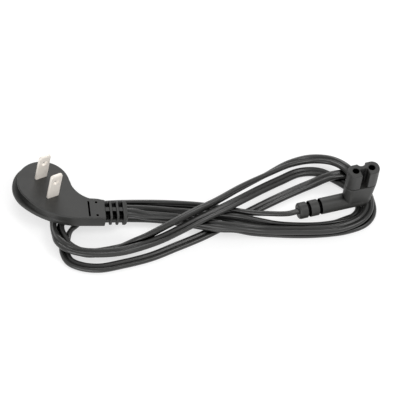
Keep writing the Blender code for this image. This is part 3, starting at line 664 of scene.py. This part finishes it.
def make_blade(name, side, mat, node):
    """A flat blade with a round-cornered, thinned tip and a round hole."""
    turn = radians(BLADE_TURN)
    foot_x = BLADES_X - side * sin(turn) * BLADE_SPACING / 2
    foot_y = BLADES_Y + side * cos(turn) * BLADE_SPACING / 2
    face = PLUG_Z + PLUG_THICK

    def place(x, y, z):
        right = x * cos(turn) - y * sin(turn)
        back = x * sin(turn) + y * cos(turn)
        return desk(foot_x + right, foot_y + back, face + z)

    def ring(height, wide, thick):
        outline = rounded_rectangle(BLADE_WIDTH / 2 * wide, BLADE_THICK / 2 * thick, BLADE_CORNER, 3)
        return [place(x, y, height) for x, y in outline]

    rings = [ring(-BLADE_ROOT, 1, 1)]
    rings += [ring(BLADE_LENGTH - back, wide, thick) for back, wide, thick in tip_levels()]
    blade = loft(name, rings)
    hole = arc((0, BLADE_HOLE_HEIGHT), BLADE_HOLE / 2, 0, 345, 23)
    sides = [[place(x, y, z) for x, z in hole] for y in (-2 * BLADE_THICK, 2 * BLADE_THICK)]
    combine(blade, loft("blade_hole", sides), "DIFFERENCE")
    soften(blade, BLADE_EDGE, BLADE_EDGE_ANGLE)
    return finish_piece(blade, mat, "nickel", node)


# Connector

def elbow_ring(height, inset):
    """The connector's head at a height: its far end leans in towards the bottom."""
    lean = CONN_TAPER * max(0.0, 1 - height / CONN_BODY_HEIGHT)
    half = (CONN_LENGTH - lean) / 2 - inset
    outline = rounded_rectangle(half, CONN_DEPTH / 2 - inset, NOSE_CORNER - inset, 9)
    return [at_connector(x - lean / 2, y, height) for x, y in outline]


def arm_stations():
    """Distance from the head's middle and radius of the arm, from inside the
    head to its end, with the two grooves of its strain relief."""
    full = ARM_DIAMETER / 2
    core = full - ARM_GROOVE_DEPTH
    out = [(along - ARM_FAR, full - inset) for along, inset in ARM_INNER_END]
    for reach in sorted(ARM_GROOVES, reverse=True):
        far = ARM_REACH - reach
        near = far - ARM_GROOVE_WIDTH
        out += [(near - along, full - inset) for along, inset in ARM_LIP]
        out += [(near, core), (far, core)]
        out += [(far + along, full - inset) for along, inset in reversed(ARM_LIP)]
    out += [(ARM_REACH - along, full - inset) for along, inset in ARM_OUTER_END]
    return out


def arm_ring(reach, radius, sides=40):
    """A cross-section of the connector's arm."""
    outline = arc((0, ARM_RISE), radius, 0, 360 - 360 / sides, sides - 1)
    return [at_connector(-reach, y, z) for y, z in outline]


def make_elbow(mat):
    """The connector's head and arm, moulded over the nose and the cord."""
    levels = ELBOW_FOOT + [(CONN_BODY_HEIGHT - down, inset) for down, inset in ELBOW_SHOULDER]
    elbow = loft("connector_elbow", [elbow_ring(*level) for level in levels])
    combine(elbow, loft("arm", [arm_ring(*station) for station in arm_stations()]), "UNION")
    turn = radians(ARM_CORD_TURN)
    mouth = [(y * cos(turn) - z * sin(turn), y * sin(turn) + z * cos(turn)) for y, z in gland_outline()]
    gland = [[at_connector(x, y, ARM_RISE + z) for y, z in mouth]
             for x in (-ARM_REACH + GLAND_DEPTH, -ARM_REACH - PAST)]
    combine(elbow, loft("gland", gland), "DIFFERENCE")
    return finish_piece(elbow, mat, "moulding", "connector_body")


def nose_ring(height, inset):
    """The figure-8 outline of the nose: a round notch down its back and a
    straight, deeper slot down its front."""
    half = CONN_LENGTH / 2 - inset
    deep = CONN_DEPTH / 2 - inset
    corner = NOSE_CORNER - inset
    notch = NOTCH_RADIUS + inset
    middle = CONN_DEPTH / 2 - NOTCH_DEPTH + NOTCH_RADIUS
    open_x = (notch ** 2 - (middle - deep) ** 2) ** 0.5
    open_angle = degrees(atan2(deep - middle, open_x))
    back = arc((half - corner, deep - corner), corner, 0, 90, 9)
    back += [(open_x + NOSE_LIP, deep)]
    back += arc((0, middle), notch, open_angle, -180 - open_angle, 14)
    back += [(-open_x - NOSE_LIP, deep)]
    back += arc((corner - half, deep - corner), corner, 90, 180, 9)
    side = SLOT_WIDTH / 2 + inset
    floor = SLOT_DEPTH - CONN_DEPTH / 2 + inset
    front = arc((corner - half, corner - deep), corner, 180, 270, 9)
    front += [(-side - NOSE_LIP, -deep), (-side, NOSE_LIP - deep)]
    front += arc((SLOT_ROUND - side, floor - SLOT_ROUND), SLOT_ROUND, 180, 90, 4)
    front += arc((side - SLOT_ROUND, floor - SLOT_ROUND), SLOT_ROUND, 90, 0, 4)
    front += [(side, NOSE_LIP - deep), (side + NOSE_LIP, -deep)]
    front += arc((half - corner, corner - deep), corner, 270, 360, 9)
    return [at_connector(x, y, height) for x, y in back + front]


def make_nose(mat):
    """The connector's nose: a harder insert that stands on the elbow, with a
    dark joint round its foot and two blind sockets in its end."""
    top = CONN_BODY_HEIGHT + NOSE_HEIGHT
    foot = CONN_BODY_HEIGHT + NOSE_SEAM
    levels = [(CONN_BODY_HEIGHT - NOSE_ROOT, NOSE_ROOT_INSET), (foot, NOSE_ROOT_INSET)]
    levels += [(foot + up, inset) for up, inset in NOSE_FOOT]
    levels += [(top - down, inset) for down, inset in NOSE_TOP]
    nose = loft("connector_insert", [nose_ring(*level) for level in levels])
    bore = SOCKET_DIAMETER / 2
    profile = [(top + PAST, bore + SOCKET_CHAMFER + PAST), (top - SOCKET_CHAMFER, bore),
               (top - SOCKET_DEPTH, bore)]
    for side in (-1, 1):
        rings = []
        for height, radius in profile:
            outline = arc((side * SOCKET_PITCH / 2, 0), radius, 0, 350, 35)
            rings.append([at_connector(x, y, height) for x, y in outline])
        combine(nose, loft("socket", rings), "DIFFERENCE")
    return finish_piece(nose, mat, "insert", "connector_nose")


# Cord

def route_points():
    """The whole route as X, Y, Z and turn, from inside one gland to the other."""
    mid = PLUG_Z + PLUG_THICK / 2
    mouth = NECK_END_X + RELIEF_LENGTH
    inside = GLAND_DEPTH - CORD_GAP
    points = [(x, NECK_AXIS_Y, mid, 0.0) for x in (mouth - inside, mouth + STRAIGHT_OUT / 2)]
    for x, y, layer, turn in ROUTE:
        points.append((x, y, CORE / 2 + layer * LAYER, float(turn)))
    turn = radians(CONN_TURN)
    height = CONN_Z + ARM_RISE
    for reach in (ARM_REACH + STRAIGHT_OUT, ARM_REACH, ARM_REACH - inside):
        points.append((CONN_X - reach * cos(turn), CONN_Y - reach * sin(turn), height, ARM_CORD_TURN))
    return points


def between(p0, p1, p2, p3, count):
    """Points of a smooth curve from p1 towards p2, spaced by chord length."""
    times = [0.0]
    for a, b in ((p0, p1), (p1, p2), (p2, p3)):
        times.append(times[-1] + (Vector(b[:3]) - Vector(a[:3])).length ** 0.5)
    t0, t1, t2, t3 = times

    def blend(a, b, start, end, t):
        share = (t - start) / (end - start)
        return tuple(u + (v - u) * share for u, v in zip(a, b))

    out = []
    for i in range(count):
        t = t1 + (t2 - t1) * i / count
        a = blend(p0, p1, t0, t1, t)
        b = blend(p1, p2, t1, t2, t)
        c = blend(p2, p3, t2, t3, t)
        out.append(blend(blend(a, b, t0, t2, t), blend(b, c, t1, t3, t), t1, t2, t))
    return out


def smooth_route():
    """One smooth curve through the route, which never dips under the floor."""
    points = route_points()
    first = tuple(2 * a - b for a, b in zip(points[0], points[1]))
    last = tuple(2 * a - b for a, b in zip(points[-1], points[-2]))
    points = [first, *points, last]
    out = []
    for i in range(1, len(points) - 2):
        out += between(*points[i - 1:i + 3], ROUTE_STEPS)
    out.append(points[-2])
    level = []
    for x, y, z, turn in out:
        lowest = CORE / 2 + CORE / 2 * abs(sin(radians(turn)))
        level.append((x, y, max(z, lowest), turn))
    return level


def cord_section():
    """The outline of the two cores, with the groove between them."""
    data = bpy.data.curves.new("cord_section", "CURVE")
    data.dimensions = "2D"
    outline = []
    for side, start in ((1, CORE_ARC), (-1, CORE_ARC + 180)):
        outline += arc((side * CORE / 2, 0), CORE / 2, start, start - 2 * CORE_ARC, CORE_SIDES)
    spline = data.splines.new("POLY")
    spline.points.add(len(outline) - 1)
    for point, (x, y) in zip(spline.points, outline):
        point.co = (x * MM, y * MM, 0.0, 1.0)
    spline.use_cyclic_u = True
    section = bpy.data.objects.new("cord_section", data)
    bpy.context.scene.collection.objects.link(section)
    section.hide_render = True
    section.hide_viewport = True
    return section


def make_cord(mat):
    """The flat twin cord along its whole route."""
    data = bpy.data.curves.new("twin_cord", "CURVE")
    data.dimensions = "3D"
    data.twist_mode = "Z_UP"
    data.bevel_mode = "OBJECT"
    data.bevel_object = cord_section()
    data.use_fill_caps = True
    points = smooth_route()
    spline = data.splines.new("POLY")
    spline.points.add(len(points) - 1)
    for point, (x, y, z, turn) in zip(spline.points, points):
        point.co = (*desk(x, y, z), 1.0)
        point.tilt = radians(turn)
    spline.use_smooth = True
    cord = bpy.data.objects.new("twin_cord", data)
    bpy.context.scene.collection.objects.link(cord)
    data.materials.append(mat)
    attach(cord, "root")
    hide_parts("cord")
    return cord


make_camera()
make_studio()

pvc = moulded_pvc("pvc_moulding_satin", "#262625", "#323230", 0.5, 0.45)
hard = moulded_pvc("pvc_insert_hard", "#242423", "#30302f", 0.46, 0.6)
jacket = extruded_pvc("pvc_jacket_drawn", "#242423", "#2f2f2e", 0.29)
nickel = plated_brass("nickel_on_stamped_brass")

make_plug(pvc)
make_blade("blade_back", 1, nickel, "blade_far")
make_blade("blade_front", -1, nickel, "blade_near")
elbow = make_elbow(pvc)
nose = make_nose(hard)
make_cord(jacket)
